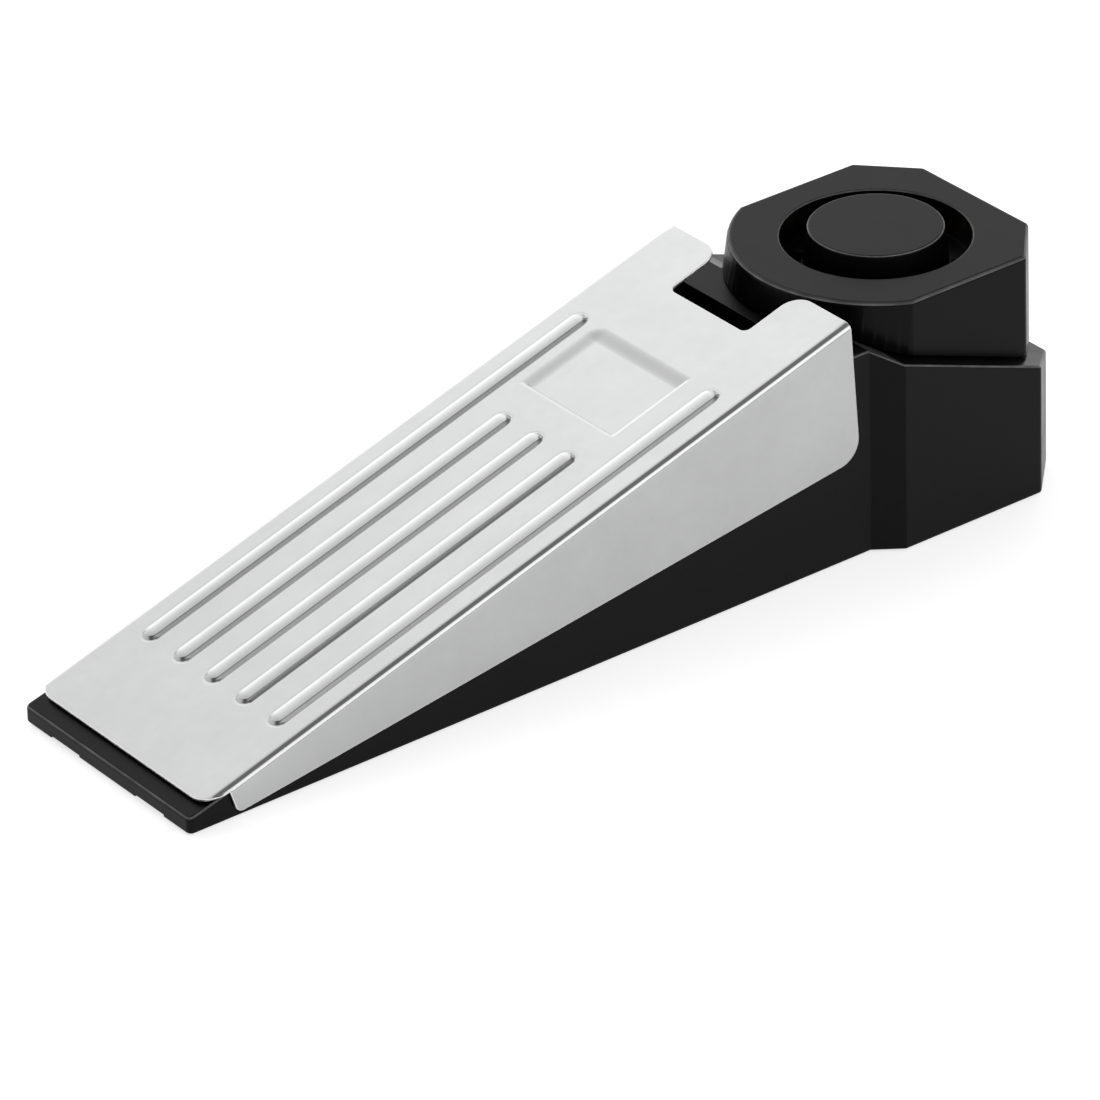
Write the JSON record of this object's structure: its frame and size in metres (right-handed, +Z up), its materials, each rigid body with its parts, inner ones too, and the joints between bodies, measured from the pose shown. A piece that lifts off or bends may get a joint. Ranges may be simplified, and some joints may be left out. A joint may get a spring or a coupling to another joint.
{
  "type": "door stop alarm",
  "caption": "Wedge-shaped door stop alarm: sprung steel ramp plate over a trigger switch, round siren at the tall end, battery and board inside the black plastic base.",
  "frame": {"origin": "centre of the footprint, on the floor that the rubber pads rest on", "axes": "+X from the thin nose to the siren end, +Y across the wedge towards the side that the picture hides, +Z up"},
  "size_m": [0.156, 0.0454, 0.0392],
  "materials": {
    "black_plastic": "satin moulded ABS",
    "black_rubber": "fine-grained non-slip rubber",
    "satin_steel": "fine bead-blasted satin stainless steel",
    "bright_steel": "plain bright steel",
    "spring_steel": "drawn spring wire",
    "brass": "rolled sheet",
    "ceramic": "fired ceramic wafer",
    "grey_plastic": "satin moulded",
    "white_plastic": "satin moulded",
    "board_green": "solder-masked glass-fibre board",
    "chip_black": "matt moulding compound",
    "capacitor_blue": "shrink sleeve",
    "resistor_tan": "lacquered body, plain",
    "ferrite": "ferrite drum core",
    "battery_jacket": "plain dark metal jacket",
    "red_lead": "soft vinyl insulation",
    "black_lead": "soft vinyl insulation"
  },
  "bodies": {
    "base": {"base_shell": "black_plastic", "bottom_cover": "black_plastic", "siren_head": "black_plastic", "siren_cap": "black_plastic", "front_pad": "black_rubber", "middle_pad": "black_rubber", "rear_pad_near": "black_rubber", "rear_pad_far": "black_rubber", "hinge_pin": "bright_steel", "sounder_ring": "white_plastic", "sounder_disc": "brass", "sounder_ceramic": "ceramic", "trigger_switch": "grey_plastic", "return_spring_near": "spring_steel", "return_spring_far": "spring_steel", "battery": "battery_jacket", "plus_terminal": "bright_steel", "minus_terminal": "bright_steel", "battery_clip": "chip_black", "circuit_board": "board_green", "driver_chip": "chip_black", "step_up_coil": "ferrite", "transistor": "chip_black", "capacitor": "capacitor_blue", "resistor": "resistor_tan", "power_switch": "grey_plastic", "sensitivity_control": "white_plastic", "cover_screw_1": "bright_steel", "cover_screw_2": "bright_steel", "cover_screw_3": "bright_steel", "cover_screw_4": "bright_steel", "cover_screw_5": "bright_steel", "head_screw_1": "bright_steel", "head_screw_2": "bright_steel", "board_screw_1": "bright_steel", "board_screw_2": "bright_steel", "battery_lead_near": "red_lead", "battery_lead_far": "black_lead", "trigger_lead_near": "red_lead", "trigger_lead_far": "black_lead", "sounder_lead_near": "red_lead", "sounder_lead_far": "black_lead"},
    "plate": {"pressure_plate": "satin_steel"},
    "plunger": {"trigger_plunger": "white_plastic"},
    "knob": {"power_knob": "grey_plastic"},
    "dial": {"sensitivity_dial": "grey_plastic"},
    "lid": {"battery_lid": "black_plastic"}
  },
  "joints": [
    {"name": "plate_press", "type": "hinge", "parent": "base", "child": "plate", "pos_m": [-0.07, 0, 0.0032], "axis": [0, 1, 0], "range_deg": [0, 1.38], "stiffness_Nm_per_rad": 6, "springref_deg": -0.57, "deforming": ["return_spring_near", "return_spring_far"]},
    {"name": "plunger_press", "type": "slide", "parent": "base", "child": "plunger", "axis": [0, 0, -1], "range_m": [0, 0.0023]},
    {"name": "knob_slide", "type": "slide", "parent": "base", "child": "knob", "axis": [0, 1, 0], "range_m": [0, 0.004]},
    {"name": "dial_turn", "type": "hinge", "parent": "base", "child": "dial", "pos_m": [0.0611, 0, 0.0008], "axis": [0, 0, 1], "range_deg": [-135, 135]},
    {"name": "lid_swing", "type": "hinge", "parent": "base", "child": "lid", "pos_m": [-0.0079, 0, 0.0003], "axis": [0, 1, 0], "range_deg": [0, 110]}
  ],
  "couplings": [
    {"joint": "plunger_press", "follows": "plate_press", "m_per_rad": 0.0945}
  ]
}
